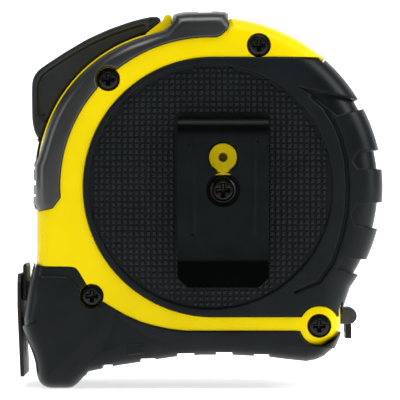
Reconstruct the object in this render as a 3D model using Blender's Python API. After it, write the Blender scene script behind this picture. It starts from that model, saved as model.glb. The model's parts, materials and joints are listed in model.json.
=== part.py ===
"""Pocket tape measure: two case halves with rubber grips, a sprung reel, blade, lock lever and belt clip.

Lengths below are millimetres. X runs along the tape (the mouth is at -X), Z is up, and Y is the
case's thickness: depth is the distance from the parting plane, side -1 is the belt clip's side.
Every outline is drawn in the XZ plane about the reel's axis.
"""

from math import cos, degrees, pi, radians, sin

import bmesh
import bpy
from mathutils import Matrix, Vector

MM = 0.001
GAP = 0.3  # between pieces that touch on the real object
PART_GAP = GAP / 2  # from the parting plane to either half
BACK = -1
FRONT = 1

# Where the reel's axis stands over the floor, and how far the clip pushes the case back from it.
AXIS_PLACE = Vector((5.1, 4.05, 43.9))

# Case
PANEL = (-2.2, 0.66)  # centre of the round side panel
PANEL_R = 28.5
CASE_R = 37.7
SHELL_REAR_R = 34.6
SEAT = (-8.45, 3.04)  # centre of the lock lever's curved seat
SEAT_R = 32.7
WALL_IN = 14.6
WALL_OUT = 16.6
SHELL_DEPTH = 19.6
RUBBER_DEPTH = 20.0
PANEL_DEPTH = 19.2
FRONT_X = -41.3
RING = (21.2, -29.9)  # eye of the rear screw
RING_R = 4.3

SCREWS = ((-25.3, 24.4), (7.9, 31.9), (-28.9, -23.3), RING)
HEAD_R = 2.5
SHANK_R = 1.4
BOSS_R = 2.9

# Reel
BLADE_W = 25.0
COIL_IN = 17.4
COIL_OUT = 28.7
COIL_TURNS = 11
STRIP = 0.5
POST_R = 3.2
DRUM_R = 17.0
DRUM_WALL = 1.6
DRUM_HALF = 12.3

# Blade in the tunnel
SECTIONS = 3
SECTION_STEP = 0.6
SECTION_T = 0.25
SECTION_START = -8.0
SECTION_END = -43.4
BLADE_Z = -30.2
CAMBER = 2.0

# Lock lever
LEVER_HALF = 12.4
LEVER_SLACK = 0.35
ARM_HALF = 4.0
SKIRT_HALF = 6.5  # of the thin tail that covers the slot which the arm moves in

# Belt clip
CLIP_HALF = 10.0
CLIP_T = 0.8
CLIP_BASE = 19.5
CLIP_GAP = 5.0
CLIP_TOP = 16.0
CLIP_FLAT = -15.0
CLIP_LIP = -21.3


def clear_scene():
    for obj in list(bpy.data.objects):
        bpy.data.objects.remove(obj, do_unlink=True)


def material(name, colour, roughness, metallic=0.0):
    made = bpy.data.materials.new(name)
    made.use_nodes = True
    shader = made.node_tree.nodes["Principled BSDF"]
    shader.inputs["Base Color"].default_value = (*colour, 1)
    shader.inputs["Roughness"].default_value = roughness
    shader.inputs["Metallic"].default_value = metallic
    made.diffuse_color = (*colour, 1)
    return made


# ---- outlines ----


def arc(centre, radius, start, end, steps):
    """Points along an arc, counted in degrees from +X towards +Z."""
    angles = [radians(start + (end - start) * step / steps) for step in range(steps + 1)]
    return [(centre[0] + radius * cos(a), centre[1] + radius * sin(a)) for a in angles]


def circle(centre, radius, steps=32):
    return arc(centre, radius, 0, 360, steps)[:-1]


def rectangle(low, high):
    return [low, (high[0], low[1]), high, (low[0], high[1])]


def grown(outline, amount):
    """The outline with each side moved outwards by amount, or inwards if it is negative."""
    area = sum(a[0] * b[1] - b[0] * a[1] for a, b in zip(outline, outline[1:] + outline[:1]))
    turn = 1 if area > 0 else -1
    moved = []
    for before, here, after in zip(outline[-1:] + outline[:-1], outline, outline[1:] + outline[:1]):
        first = Vector((here[0] - before[0], here[1] - before[1])).normalized()
        second = Vector((after[0] - here[0], after[1] - here[1])).normalized()
        out_first = Vector((first.y, -first.x)) * turn
        out_second = Vector((second.y, -second.x)) * turn
        shared = out_first + out_second
        shift = shared * (2 * amount / max(shared.length_squared, 1.2))
        moved.append((here[0] + shift.x, here[1] + shift.y))
    return moved


# ---- solids ----


def finish(name, bm, surface, smooth=35):
    bmesh.ops.remove_doubles(bm, verts=bm.verts, dist=1e-7)
    bmesh.ops.recalc_face_normals(bm, faces=bm.faces)
    mesh = bpy.data.meshes.new(name)
    bm.to_mesh(mesh)
    bm.free()
    mesh.shade_smooth()
    mesh.set_sharp_from_angle(angle=radians(smooth))
    mesh.materials.append(surface)
    obj = bpy.data.objects.new(name, mesh)
    bpy.context.scene.collection.objects.link(obj)
    return obj


def skin(bm, rings, closed=False):
    """Joins rings of points with quads, and caps both ends unless the rings close on themselves."""
    loops = [[bm.verts.new(Vector(p) * MM) for p in ring] for ring in rings]
    pairs = list(zip(loops, loops[1:]))
    if closed:
        pairs.append((loops[-1], loops[0]))
    for low, high in pairs:
        for i in range(len(low)):
            j = (i + 1) % len(low)
            bm.faces.new((low[i], low[j], high[j], high[i]))
    if not closed:
        bm.faces.new(loops[0])
        bm.faces.new(loops[-1])


def pillow(name, outline, levels, surface, side=FRONT):
    """An outline carried through depth, and grown or shrunk at each (depth, growth) level."""
    bm = bmesh.new()
    rings = []
    for depth, growth in levels:
        ring = grown(outline, growth) if growth else outline
        rings.append([(x, side * depth, z) for x, z in ring])
    skin(bm, rings)
    return finish(name, bm, surface)


def prism(name, outline, near, far, surface, side=FRONT):
    return pillow(name, outline, ((near, 0), (far, 0)), surface, side)


def turned(name, profile, centre, surface, steps=32):
    """A closed profile of (radius, y) points turned about an axis along Y."""
    bm = bmesh.new()
    rings = []
    for step in range(steps):
        angle = 2 * pi * step / steps
        rings.append([(centre[0] + r * cos(angle), y, centre[1] + r * sin(angle)) for r, y in profile])
    skin(bm, rings, closed=True)
    return finish(name, bm, surface)


def rod(name, radius, low, high, centre, surface, steps=24):
    """A solid cylinder along Y."""
    return prism(name, circle(centre, radius, steps), low, high, surface)


def spiral(name, inner, outer, turns, thick, half, centre, surface, per_turn=22):
    """A strip wound on edge: its section is thick by twice half, and its axis is along Y."""
    bm = bmesh.new()
    rings = []
    for step in range(turns * per_turn + 1):
        share = step / (turns * per_turn)
        angle = 2 * pi * turns * share
        radius = inner + (outer - thick - inner) * share
        ring = []
        for r, y in ((radius, -half), (radius + thick, -half), (radius + thick, half), (radius, half)):
            ring.append((centre[0] + r * cos(angle), y, centre[1] + r * sin(angle)))
        rings.append(ring)
    skin(bm, rings)
    return finish(name, bm, surface)


def applied(obj, modifier_name):
    """Turns a modifier's result into the object's own mesh."""
    graph = bpy.context.evaluated_depsgraph_get()
    graph.update()
    mesh = bpy.data.meshes.new_from_object(obj.evaluated_get(graph))
    obj.modifiers.remove(obj.modifiers[modifier_name])
    old = obj.data
    obj.data = mesh
    bpy.data.meshes.remove(old)
    obj.data.name = obj.name


def combine(obj, tool, operation):
    """Boolean with a helper that is used up by it."""
    step = obj.modifiers.new("shape", "BOOLEAN")
    step.operation = operation
    step.solver = "EXACT"
    step.object = tool
    applied(obj, "shape")
    bpy.data.objects.remove(tool, do_unlink=True)
    obj.data.shade_smooth()
    obj.data.set_sharp_from_angle(angle=radians(35))
    while len(obj.data.materials) > 1:
        obj.data.materials.pop(index=len(obj.data.materials) - 1)
    return obj


def cut(obj, *tools):
    for tool in tools:
        combine(obj, tool, "DIFFERENCE")
    return obj


def add(obj, *tools):
    for tool in tools:
        combine(obj, tool, "UNION")
    return obj


def keep(obj, tool):
    return combine(obj, tool, "INTERSECT")


def bevelled(obj, width, segments=2, angle=40):
    step = obj.modifiers.new("edge", "BEVEL")
    step.width = width * MM
    step.segments = segments
    step.limit_method = "ANGLE"
    step.angle_limit = radians(angle)
    step.use_clamp_overlap = True
    applied(obj, "edge")
    obj.data.shade_smooth()
    obj.data.set_sharp_from_angle(angle=radians(35))
    return obj


# ---- case outlines ----

REAR_EDGE = arc(PANEL, CASE_R, -36, 49, 17)
TOP_EDGE = arc(PANEL, CASE_R, 49, 84, 7)[1:]
SEAT_EDGE = arc(SEAT, SEAT_R, 108, 186, 13)
NOSE_EDGE = [(FRONT_X - 0.3, -14.8), (-42.5, -16.4), (-43.7, -21.8), (-44.65, -28.5), (-44.5, -30.5),
             (-43.6, -33.0), (-42.6, -35.2), (-41.6, -38.0), (-41.3, -41.2)]
FOOT_EDGE = [(-40.5, -42.9), (-38.9, -43.9), (-33.6, -43.9), (-32.4, -43.1), (-30.4, -40.9), (-27.4, -40.1),
             (-23.0, -39.3), (-19.0, -38.7), (-14.0, -37.9), (-10.5, -37.4), (-5.0, -37.0), (2.0, -37.0),
             (6.0, -37.2), (10.6, -37.5), (14.5, -38.0), (18.5, -38.5), (20.5, -38.2), (22.3, -37.5),
             (24.8, -35.3), (26.1, -32.4)]
BUMPER_TOP = [(26.6, -31.6), (15.6, -31.1), (-8.0, -31.1), (-11.2, -30.8), (-14.7, -30.1), (-18.3, -29.1),
              (-21.8, -27.5), (-25.3, -25.5), (-28.4, -23.2), (-30.2, -20.8), (-32.3, -17.3), (-33.4, -17.0),
              (-40.3, -16.9), (-41.0, -16.3)]
SHELL_NOSE = [(FRONT_X, -5.0), (FRONT_X, -16.4), (-42.1, -20.0), (-42.6, -33.0), (-40.2, -41.6),
              (-33.5, -41.6), (-29.5, -38.2), (-26.0, -37.0), (-10.0, -34.7), (8.0, -34.5), (18.0, -35.8),
              (22.0, -34.9), (25.0, -32.6), (26.1, -30.4), (26.1, -25.3)]
CAVITY = (arc(PANEL, 32.4, -38, 100, 24) + arc(SEAT, SEAT_R - 2.0, 108, 183, 12)
          + [(-39.2, -5.0), (-39.2, -17.0), (-40.6, -20.5), (-40.6, -33.2), (-38.7, -39.8), (-34.3, -39.8),
             (-30.3, -36.6), (-26.5, -35.2), (-10.2, -33.1), (8.0, -32.9), (17.8, -34.0), (21.2, -33.2),
             (23.6, -31.4), (24.2, -29.6), (24.2, -24.5)])
LIP = [(-11.5, 34.0), (-11.5, 38.7), (-12.2, 38.7), (-12.8, 37.2), (-15.5, 35.2), (-15.5, 34.0)]

TOP_START = arc(PANEL, CASE_R, 49, 50, 1)[0]

# Growth of the outline through the depth of one half: a long flat side, then a rounded shoulder.
SHOULDER = ((PART_GAP, 0), (13.0, 0), (15.6, -0.35), (17.6, -1.1), (18.9, -2.0), (SHELL_DEPTH, -3.1))
SHOULDER_RUBBER = ((PART_GAP, 0), (13.0, 0), (15.8, -0.35), (18.0, -1.1), (19.3, -2.0), (RUBBER_DEPTH, -3.1))


def shell_outline():
    """The yellow shell's edge. It stands back where a rubber grip wraps the case."""
    rear = arc(PANEL, SHELL_REAR_R, -38, 48.5, 17)
    under_block = arc(PANEL, 36.4, 86, 104, 4)
    return rear + [TOP_START] + TOP_EDGE + under_block + SEAT_EDGE + SHELL_NOSE


def case_outline():
    """The whole case's smooth edge, which the rubber grips are cut from."""
    block = [(1.4, 38.6), (1.3, 39.5), (-1.5, 39.75), (-8.5, 39.6), (-11.1, 39.1)]
    front = [(-13.2, 35.9)] + arc(SEAT, SEAT_R, 108, 162, 9) + [(-41.2, 7.6), (-42.0, 5.6), (-42.1, -3.0)]
    return REAR_EDGE + TOP_EDGE + block + front + [(FRONT_X, -5.0)] + NOSE_EDGE + FOOT_EDGE + [(26.6, -26.5)]


def grip_region():
    """Round panel and rear grip in one: the left half is a circle, and the right half runs past the case."""
    half = arc(PANEL, PANEL_R, 90, 270, 30)
    return half + [(44.0, PANEL[1] - PANEL_R), (44.0, PANEL[1] + PANEL_R)]


def bumper_region():
    return BUMPER_TOP + [(-47.0, -14.9), (-47.0, -48.0), (30.0, -48.0), (30.0, -31.6)]


def top_grip_region():
    """The strip between the yellow band and the lever's seat, with the block over the case."""
    band_edge = arc((-2.9, 0.66), 33.1, 86, 184, 22)
    end = [(-37.6, -3.9), (-40.7, -4.6), (-46.0, -4.6), (-46.0, 9.6)]
    seat = arc(SEAT, SEAT_R - 0.5, 167, 107, 10)
    return band_edge + end + seat + [(-14.0, 35.0), (-11.2, 36.6), (-11.2, 44.0), (1.2, 44.0), (1.2, 36.4), (0.6, 35.2)]


def notch(x, z, width, height, lean):
    """Cuts a tooth gap upwards into the bottom edge: its mouth is wider than its floor."""
    low = z - 4
    half = width / 2
    return [(x - half - lean, low), (x + half + lean, low), (x + half, z + height), (x - half, z + height)]


# Details that several pieces share
BOSS = (0.0, 7.2)  # keyhole boss that stops the clip from turning
BOSS_R2 = 3.05
BOSS_DEPTH = 21.4
KEYHOLE = arc(BOSS, BOSS_R2, -64, 244, 22) + [(-1.3, 3.3), (1.3, 3.3)]
HEAD_SEAT = 17.6
HEAD_TOP = 19.4
SCREW_END = 9.0
FRONT_FACE = 20.2
PIN = (28.3, -28.2)
PIN_R = 0.9
STRAP_SPACE = rectangle((25.3, -33.6), (33.0, -25.6))
EAR_IN = 4.4
EAR_OUT = 7.0
BAIL_IN = 2.4
BAIL_OUT = 4.0
HOOK_HALF = 12.3
RIVETS = (-3.6, 0.0, 3.6)
RIVET_X = -41.2
TONGUE_Z = -29.4
HUB_R = POST_R + 0.4
DRUM_IN = DRUM_R - DRUM_WALL
DRUM_PROFILE = [(HUB_R, -DRUM_HALF), (DRUM_R, -DRUM_HALF), (DRUM_R, DRUM_HALF), (DRUM_IN, DRUM_HALF),
                (DRUM_IN, 1 - DRUM_HALF), (HUB_R, 1 - DRUM_HALF)]
COVER_PROFILE = [(HUB_R, DRUM_HALF - 1), (DRUM_IN - 0.3, DRUM_HALF - 1), (DRUM_IN - 0.3, DRUM_HALF), (HUB_R, DRUM_HALF)]
FOLD_R = (CLIP_GAP + CLIP_T) / 2
FOLD = (-CLIP_BASE - CLIP_T / 2 - FOLD_R, CLIP_TOP - CLIP_T / 2 - FOLD_R)
BASE_END = -12.0
TEETH = ((8.5, -37.3, 2.6, 0.85, 0.4), (0.3, -37.0, 2.6, 1.0, 0.4), (-8.1, -37.2, 3.0, 0.9, 0.4),
         (-16.7, -38.4, 2.4, 0.95, 0.4), (-25.5, -39.6, 1.8, 0.8, 0.4))
REAR_GAPS = ([(29.6, 21.6), (29.0, 20.6), (29.8, 17.4), (38.0, 17.0), (38.0, 21.6)],
             [(33.6, 10.4), (32.6, 9.6), (33.4, 4.4), (35.8, 3.6), (39.0, 10.4)],
             [(34.8, -2.4), (32.6, -3.6), (31.8, -8.4), (34.6, -9.2), (39.0, -2.4)],
             [(31.4, -15.6), (29.4, -16.4), (28.9, -18.3), (30.4, -19.2), (36.0, -17.4)])
PIVOTS = {
    "lock_lever": (SEAT[0], 0, SEAT[1]),
    "brake_pad": (SEAT[0], 0, SEAT[1]),
    "belt_clip_tongue": (0, FOLD[0], CLIP_TOP - CLIP_T / 2),
    "strap_bail": (PIN[0], 0, PIN[1]),
}


# ---- case ----


def near_eye(tool, side, surface, growth):
    """Leaves the rear screw's eye out of a tool or a rubber piece."""
    return cut(tool, prism("round_eye", circle(RING, RING_R + growth), -1, 30, surface, side))


def case_shell(side, yellow):
    name = "case_shell_back" if side == BACK else "case_shell_front"
    far = RUBBER_DEPTH + 5
    obj = pillow(name, shell_outline(), SHOULDER, yellow, side)
    for region in (grip_region(), bumper_region(), top_grip_region()):
        pocket = prism("pocket", grown(region, GAP), WALL_OUT, far, yellow, side)
        cut(obj, near_eye(pocket, side, yellow, 0))
    add(obj, prism("lip", LIP, PART_GAP, 15.0, yellow, side))
    cut(obj, prism("cavity", CAVITY, -1, WALL_IN, yellow, side))
    for centre in SCREWS:
        add(obj, prism("boss", circle(centre, BOSS_R, 16), PART_GAP, WALL_IN + 1, yellow, side))
    if side == BACK:
        add(obj, prism("clip_boss", KEYHOLE, WALL_IN + 1, BOSS_DEPTH, yellow, side))
        cut(obj, prism("clip_boss_hole", circle(BOSS, 1.0, 16), BOSS_DEPTH - 2, 30, yellow, side))
    add_ear(obj, side, yellow)
    drill_shell(obj, side, yellow)
    return obj


def add_ear(obj, side, yellow):
    """Ear that holds one end of the wrist-strap pin."""
    ear = [(25.0, -30.2)] + arc(PIN, 2.0, -90, 90, 8) + [(25.0, -26.2)]
    add(obj, prism("ear", ear, EAR_IN, EAR_OUT, yellow, side))
    cut(obj, prism("pin_hole", circle(PIN, PIN_R + GAP, 20), EAR_IN - 1, EAR_OUT - 0.8, yellow, side))


def drill_shell(obj, side, yellow):
    """Screw holes, the mouth's slot, and the slot that the lock lever's arm passes through."""
    for centre in SCREWS:
        if side == BACK:
            cut(obj, prism("shank_hole", circle(centre, SHANK_R + GAP, 12), -1, 30, yellow, side))
            cut(obj, prism("head_hole", circle(centre, HEAD_R + GAP, 18), HEAD_SEAT - GAP, 30, yellow, side))
        else:
            cut(obj, prism("thread_hole", circle(centre, SHANK_R + GAP, 12), -1, SCREW_END + 1, yellow, side))
    if side == BACK:
        cut(obj, prism("clip_screw_hole", circle((0, 0), 1.7, 20), 10, 30, yellow, side))
    cut(obj, prism("mouth", rectangle((-46, -32.7), (-39, -27.5)), -1, 13.1, yellow, side))
    cut(obj, prism("arm_slot", arm_slot(), -1, ARM_HALF + 0.4, yellow, side))


def arm_slot():
    return arc(SEAT, SEAT_R - 3.2, 156, 177, 5) + arc(SEAT, SEAT_R + 1.0, 177, 156, 5)


def rubber_blank(name, side, rubber):
    """The case's smooth form at rubber height, hollowed out over the yellow shell."""
    obj = pillow(name, case_outline(), SHOULDER_RUBBER, rubber, side)
    return cut(obj, prism("shell_space", grown(shell_outline(), GAP), -1, WALL_OUT + GAP, rubber, side))


def rear_grip(side, rubber):
    name = "rear_grip_back" if side == BACK else "rear_grip_front"
    obj = rubber_blank(name, side, rubber)
    keep(obj, prism("region", grip_region(), -1, 30, rubber, side))
    near_eye(obj, side, rubber, GAP)
    cut(obj, prism("panel", circle(PANEL, 26.6, 48), PANEL_DEPTH, 30, rubber, side))
    cut(obj, prism("strap_space", STRAP_SPACE, -1, EAR_OUT + GAP, rubber, side))
    for gap in REAR_GAPS:
        cut(obj, prism("gap", gap, -1, 30, rubber, side))
    if side == BACK:
        cut(obj, prism("clip_boss_space", grown(KEYHOLE, GAP), 10, 30, rubber, side))
        cut(obj, prism("clip_screw_hole", circle((0, 0), 1.7, 20), 10, 30, rubber, side))
    return obj


def nose_bumper(side, rubber):
    name = "nose_bumper_back" if side == BACK else "nose_bumper_front"
    obj = rubber_blank(name, side, rubber)
    keep(obj, prism("region", bumper_region(), -1, 30, rubber, side))
    near_eye(obj, side, rubber, GAP)
    cut(obj, prism("hook_space", rectangle((-50, -50), (-43.0, -10)), -1, 13.0, rubber, side))
    cut(obj, prism("mouth_space", rectangle((-50, -34.5), (-40.5, -10)), -1, 13.0, rubber, side))
    cut(obj, prism("strap_space", STRAP_SPACE, -1, EAR_OUT + GAP, rubber, side))
    for x, z, width, height, lean in TEETH:
        cut(obj, prism("tooth_gap", notch(x, z, width, height, lean), -1, 30, rubber, side))
    nose_screw = SCREWS[2]
    cut(obj, prism("head_hole", circle(nose_screw, HEAD_R + 2 * GAP, 18), 10, 30, rubber, side))
    return obj


def top_grip(side, rubber):
    name = "top_grip_back" if side == BACK else "top_grip_front"
    obj = rubber_blank(name, side, rubber)
    keep(obj, prism("region", top_grip_region(), -1, 30, rubber, side))
    cut(obj, prism("lip_space", grown(LIP, GAP), -1, 15.3, rubber, side))
    cut(obj, prism("saddle", [(-5.5, 39.3), (-2.6, 39.3), (-1.8, 41), (-6.3, 41)], -1, 30, rubber, side))
    lever_sweep = arc(SEAT, SEAT_R - 0.6, 104, 187, 12) + arc(SEAT, SEAT_R + 12, 187, 104, 12)
    cut(obj, prism("lever_space", lever_sweep, -1, LEVER_HALF + 0.6, rubber, side))
    top_screw = SCREWS[0]
    cut(obj, prism("head_hole", circle(top_screw, HEAD_R + 2 * GAP, 18), 10, 30, rubber, side))
    return obj


def case_screws(steel):
    """Pan-head screws, driven from the clip's side into the front half's bosses."""
    profile = ((HEAD_SEAT, HEAD_R), (HEAD_SEAT + 0.9, HEAD_R), (HEAD_TOP - 0.25, HEAD_R * 0.72), (HEAD_TOP, HEAD_R * 0.4))
    for number, centre in enumerate(SCREWS, start=1):
        screw(f"case_screw_{number}", centre, profile, SHANK_R, SCREW_END, steel)


def screw(name, centre, head, shank_r, end, steel):
    """A screw along Y: head is (depth, radius) on the clip's side, end is how far past the parting plane it goes."""
    bm = bmesh.new()
    stations = [(end, shank_r * 0.6), (end - 0.8, shank_r), (-head[0][0], shank_r)]
    stations += [(-depth, radius) for depth, radius in head]
    rings = [[(x, y, z) for x, z in circle(centre, radius, 16)] for y, radius in stations]
    skin(bm, rings)
    obj = finish(name, bm, steel)
    top = head[-1][0]
    for low, high in (((-1.5, -0.32), (1.5, 0.32)), ((-0.32, -1.5), (0.32, 1.5))):
        bar = rectangle((centre[0] + low[0], centre[1] + low[1]), (centre[0] + high[0], centre[1] + high[1]))
        cut(obj, prism("cross", bar, top - 1.0, top + 1, steel, BACK))
    return obj


def front_label(surface):
    return bevelled(prism("front_label_disc", circle(PANEL, 24.0, 40), PANEL_DEPTH + GAP, FRONT_FACE, surface), 0.2, 1)


# ---- reel ----


def reel(plastic, steel, spring_steel, tape):
    post = rod("centre_post", POST_R, -14.3, 14.3, (0, 0), plastic)
    cut(post, prism("bore", circle((0, 0), 1.65, 20), 5.0, 20, plastic, BACK))
    cut(post, prism("spring_slot", rectangle((1.0, -0.45), (4, 0.45)), -4.5, 11.0, plastic))
    turned("reel_drum", DRUM_PROFILE, (0, 0), plastic)
    turned("reel_cover", COVER_PROFILE, (0, 0), plastic)
    spiral("power_spring", 4.0, 14.8, 7, 0.45, 10.8, (0, 0), spring_steel, per_turn=16)
    spiral("blade_coil", COIL_IN, COIL_OUT, COIL_TURNS, STRIP, BLADE_W / 2, (0, 0), tape)
    for side, name in ((BACK, "side_washer_back"), (FRONT, "side_washer_front")):
        ring = [(5.0, side * 13.2), (27.0, side * 13.2), (27.0, side * 13.7), (5.0, side * 13.7)]
        turned(name, ring, (0, 0), plastic)


def blade_section(number, tape):
    """Straight, cambered stretch of blade. The sections lie under each other, and slide out one by one."""
    last = number == SECTIONS
    start = SECTION_START
    end = SECTION_END if last else SECTION_END + 4.9
    middle = BLADE_Z - (SECTIONS - number) * SECTION_STEP
    half = BLADE_W / 2
    stations = [half * step / 6 for step in range(-6, 7)]
    upper = [(y, middle + CAMBER * (y / half) ** 2) for y in stations]
    lower = [(y, z - SECTION_T) for y, z in reversed(upper)]
    bm = bmesh.new()
    skin(bm, [[(x, y, z) for y, z in upper + lower] for x in (start, end)])
    obj = finish(f"blade_section_{number}", bm, tape)
    if last:
        for y in RIVETS:
            cut(obj, upright("rivet_hole", (RIVET_X, y), 1.3, BLADE_Z - 3, BLADE_Z + 3, tape))
    return obj


def upright(name, place, radius, low, high, surface, steps=16):
    """A cylinder along Z at place (x, y)."""
    bm = bmesh.new()
    skin(bm, [[(x, y, z) for x, y in circle(place, radius, steps)] for z in (low, high)])
    return finish(name, bm, surface)


def block(name, low, high, surface):
    bm = bmesh.new()
    ring = [(low[0], low[1]), (high[0], low[1]), (high[0], high[1]), (low[0], high[1])]
    skin(bm, [[(x, y, z) for x, y in ring] for z in (low[2], high[2])])
    return finish(name, bm, surface)


# ---- hook and mouth ----


def end_hook(steel):
    side_view = [(-45.7, -18.6), (-44.9, -18.6), (-44.9, -26.0), (-44.2, -41.5), (-45.0, -41.5), (-45.7, -26.0)]
    obj = prism("end_hook", side_view, -HOOK_HALF, HOOK_HALF, steel)
    top_cut = [(-HOOK_HALF - 1, -21.5), (-9.0, -17.5), (-HOOK_HALF - 1, -17.5)]
    for turn in (-1, 1):
        cut(obj, across("corner", [(turn * y, z) for y, z in top_cut], -50, -40, steel))
    cut(obj, across("nail_slot", rectangle((-1.2, -37.5), (1.2, -34.0)), -50, -40, steel))
    tongue = block("tongue", (-45.2, -6.0, TONGUE_Z), (-38.5, 6.0, TONGUE_Z + 0.7), steel)
    for y in RIVETS:
        slot = block("slot", (RIVET_X - 1.9, y - 1.25, -40), (RIVET_X + 1.9, y + 1.25, -20), steel)
        cut(tongue, slot)
    return add(obj, tongue)


def across(name, outline, low, high, surface):
    """An outline of (y, z) points carried along X."""
    bm = bmesh.new()
    skin(bm, [[(x, y, z) for y, z in outline] for x in (low, high)])
    return finish(name, bm, surface)


def hook_rivets(steel):
    stations = ((BLADE_Z - 0.95, 1.3), (BLADE_Z - 0.55, 1.6), (BLADE_Z - 0.55, 1.0),
                (TONGUE_Z + 1.0, 1.0), (TONGUE_Z + 1.0, 1.6), (TONGUE_Z + 1.5, 1.1))
    for number, y in enumerate(RIVETS, start=1):
        bm = bmesh.new()
        skin(bm, [[(px, py, z) for px, py in circle((RIVET_X, y), r, 16)] for z, r in stations])
        finish(f"hook_rivet_{number}", bm, steel)


def mouth(plastic, rubber, steel):
    outline = [(-44.6, -24.8), (-43.8, -24.8), (-43.8, -17.0), (-44.1, -16.3), (-44.6, -16.8)]
    prism("hook_back_plate", outline, -9.0, 9.0, steel)
    prism("hook_stop_pad", [(-43.5, -26.6), (-42.9, -26.6), (-42.8, -20.4), (-43.3, -20.4)], -10.0, 10.0, rubber)
    guide = [(-40.2, -33.0), (-28.0, -33.0), (-28.0, -32.0), (-39.6, -32.0), (-40.2, -32.4)]
    prism("blade_guide", guide, -12.8, 12.8, plastic)


# ---- lock ----


def lock_lever(plastic):
    outer = [(-40.9, 11.2), (-41.9, 12.9), (-42.4, 15.5), (-42.5, 22.2), (-42.35, 24.6), (-41.3, 26.5), (-39.2, 28.0),
             (-35.4, 30.5), (-30.2, 33.6), (-25.1, 35.9), (-19.9, 37.7), (-16.0, 38.6), (-14.5, 38.6), (-13.6, 37.9)]
    inner = arc(SEAT, SEAT_R + LEVER_SLACK, 106, 166, 12)
    outline = outer + inner
    recess = [(-41.1, 16.6), (-41.2, 22.2), (-41.0, 23.9), (-40.3, 25.4), (-38.5, 26.8), (-34.7, 29.3), (-29.6, 32.3),
              (-24.7, 34.5), (-19.8, 36.2), (-17.2, 36.9)] + arc(SEAT, SEAT_R + 1.6, 110, 158, 8)
    obj = bevelled(prism("lock_lever", outline, -LEVER_HALF, LEVER_HALF, plastic), 0.6, 2, 50)
    for side in (BACK, FRONT):
        cut(obj, prism("side_recess", recess, LEVER_HALF - 1.4, LEVER_HALF + 2, plastic, side))
    skirt = arc(SEAT, SEAT_R + LEVER_SLACK, 160, 178, 6) + arc(SEAT, SEAT_R + LEVER_SLACK + 0.6, 178, 160, 6)
    add(obj, prism("skirt", skirt, -SKIRT_HALF, SKIRT_HALF, plastic))
    return add(obj, prism("arm", lever_arm(), -ARM_HALF, ARM_HALF, plastic))


def lever_arm():
    """Arm from the lever through the seat's slot, down the front wall to the brake pad."""
    root = arc(SEAT, SEAT_R + 1.2, 159, 165, 2)
    outside = [arc(SEAT, SEAT_R - 2.3, 167, 168, 1)[0], (-38.4, 2.0), (-38.4, -14.0), (-38.3, -20.5), (-37.0, -23.6)]
    inside = [(-34.2, -23.6), (-36.0, -19.5), (-36.2, -12.0), (-36.0, 2.0), (-35.2, 9.5), arc(SEAT, SEAT_R - 2.3, 159, 160, 1)[0]]
    return root + outside + inside


def lock_parts(rubber, spring_steel):
    pad = [(-36.6, -25.1), (-33.0, -25.6), (-33.3, -23.9), (-36.8, -23.9)]
    prism("brake_pad", pad, -5.0, 5.0, rubber)
    leaf = [(-33.6, -4.0), (-33.2, -4.0), (-33.9, 2.5), (-33.2, 9.0), (-33.6, 9.0), (-34.3, 2.5)]
    prism("lock_spring", leaf, -3.0, 3.0, spring_steel)


# ---- belt clip ----


def fold(start, end, steps):
    """Part of the clip's top fold: (y, z) points of its outer side, then of its inner side."""
    outside = arc(FOLD, FOLD_R + CLIP_T / 2, start, end, steps)
    inside = arc(FOLD, FOLD_R - CLIP_T / 2, end, start, steps)
    return outside, inside


def belt_clip(steel):
    """One bent steel strip. It is two pieces here, so that the outer leg can flex at the fold."""
    apex = degrees(GAP / 2 / FOLD_R)
    outside, inside = fold(0, 90 - apex, 6)
    leg = outside + inside + [(-CLIP_BASE - CLIP_T, BASE_END), (-CLIP_BASE, BASE_END)]
    base = across("belt_clip_base", leg, -CLIP_HALF, CLIP_HALF, steel)
    cut(base, prism("keyhole", grown(KEYHOLE, GAP), 10, 40, steel, BACK))
    cut(base, prism("screw_hole", circle((0, 0), 1.7, 20), 10, 40, steel, BACK))
    outside, inside = fold(90 + apex, 180, 6)
    outer = -CLIP_BASE - 2 * CLIP_T - CLIP_GAP
    lip = [(outer, CLIP_FLAT + 1.0), (outer - 0.4, CLIP_FLAT - 0.8), (outer - 2.2, CLIP_LIP)]
    lip_in = [(outer - 2.2 + CLIP_T, CLIP_LIP), (outer - 0.4 + CLIP_T, CLIP_FLAT - 1.0), (outer + CLIP_T, CLIP_FLAT + 0.9)]
    tongue = across("belt_clip_tongue", outside + lip + lip_in + inside, -CLIP_HALF, CLIP_HALF, steel)
    cut(tongue, prism("boss_window", circle(BOSS, 3.45, 32), 22, 40, steel, BACK))
    cut(tongue, prism("screw_window", circle((0, 0), 3.75, 32), 22, 40, steel, BACK))
    for turn in (-1, 1):
        corner = [(turn * 12, CLIP_LIP - 1), (turn * 12, CLIP_LIP + 4), (turn * 6.6, CLIP_LIP - 1)]
        cut(tongue, prism("corner", corner, 22, 40, steel, BACK))


def clip_screw(steel):
    seat = CLIP_BASE + CLIP_T + GAP
    head = ((seat, 2.95), (seat + 0.9, 2.95), (seat + 1.55, 2.2), (seat + 1.8, 1.2))
    screw("clip_screw", (0, 0), head, 1.3, -6.0, steel)


# ---- wrist-strap anchor ----


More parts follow.
